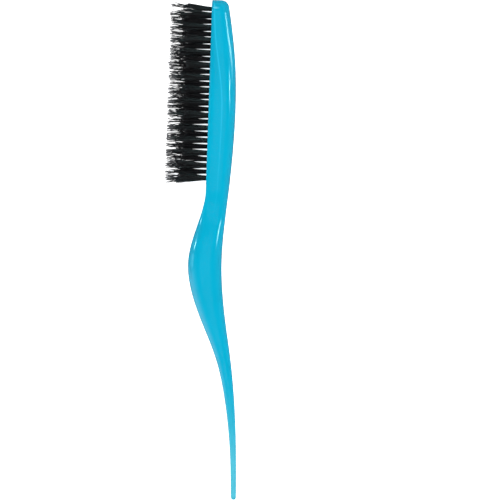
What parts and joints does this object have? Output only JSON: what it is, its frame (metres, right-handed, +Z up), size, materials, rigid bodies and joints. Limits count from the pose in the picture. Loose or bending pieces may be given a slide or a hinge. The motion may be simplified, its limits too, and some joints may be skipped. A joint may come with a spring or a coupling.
{
  "type": "rat-tail teasing brush",
  "caption": "Slim teasing hairbrush: glossy blue moulded handle with a flat head, waisted neck, bellied grip and thin round tail, set with rows of black bristle tufts.",
  "frame": {"origin": "bottom centre of the brush's box as it lies on its side on a table", "axes": "+X from the toe of the head to the tip of the tail, bristles along -Y, +Z up through the brush's width; the plane halfway up halves the brush"},
  "size_m": [0.2248, 0.0368, 0.0176],
  "materials": {
    "handle": "glossy moulded plastic, bright cyan blue, paler along the thin tail",
    "bristle": "black bristle, many shorter ones and a few long ones to a tuft, soft sheen, paler at the tips; taken to be nylon",
    "anchor": "short piece of flat wire down in each bristle hole; hidden, so assumed from how such brushes are made"
  },
  "bodies": {
    "root": {"handle": "handle", "tuft_left_01": "bristle", "tuft_left_02": "bristle", "tuft_left_03": "bristle", "tuft_left_04": "bristle", "tuft_left_05": "bristle", "tuft_left_06": "bristle", "tuft_left_07": "bristle", "tuft_left_08": "bristle", "tuft_left_09": "bristle", "tuft_left_10": "bristle", "tuft_left_11": "bristle", "tuft_left_12": "bristle", "tuft_left_13": "bristle", "tuft_left_14": "bristle", "tuft_middle_01": "bristle", "tuft_middle_02": "bristle", "tuft_middle_03": "bristle", "tuft_middle_04": "bristle", "tuft_middle_05": "bristle", "tuft_middle_06": "bristle", "tuft_middle_07": "bristle", "tuft_middle_08": "bristle", "tuft_middle_09": "bristle", "tuft_middle_10": "bristle", "tuft_middle_11": "bristle", "tuft_middle_12": "bristle", "tuft_middle_13": "bristle", "tuft_middle_14": "bristle", "tuft_right_01": "bristle", "tuft_right_02": "bristle", "tuft_right_03": "bristle", "tuft_right_04": "bristle", "tuft_right_05": "bristle", "tuft_right_06": "bristle", "tuft_right_07": "bristle", "tuft_right_08": "bristle", "tuft_right_09": "bristle", "tuft_right_10": "bristle", "tuft_right_11": "bristle", "tuft_right_12": "bristle", "tuft_right_13": "bristle", "tuft_right_14": "bristle"}
  },
  "joints": []
}
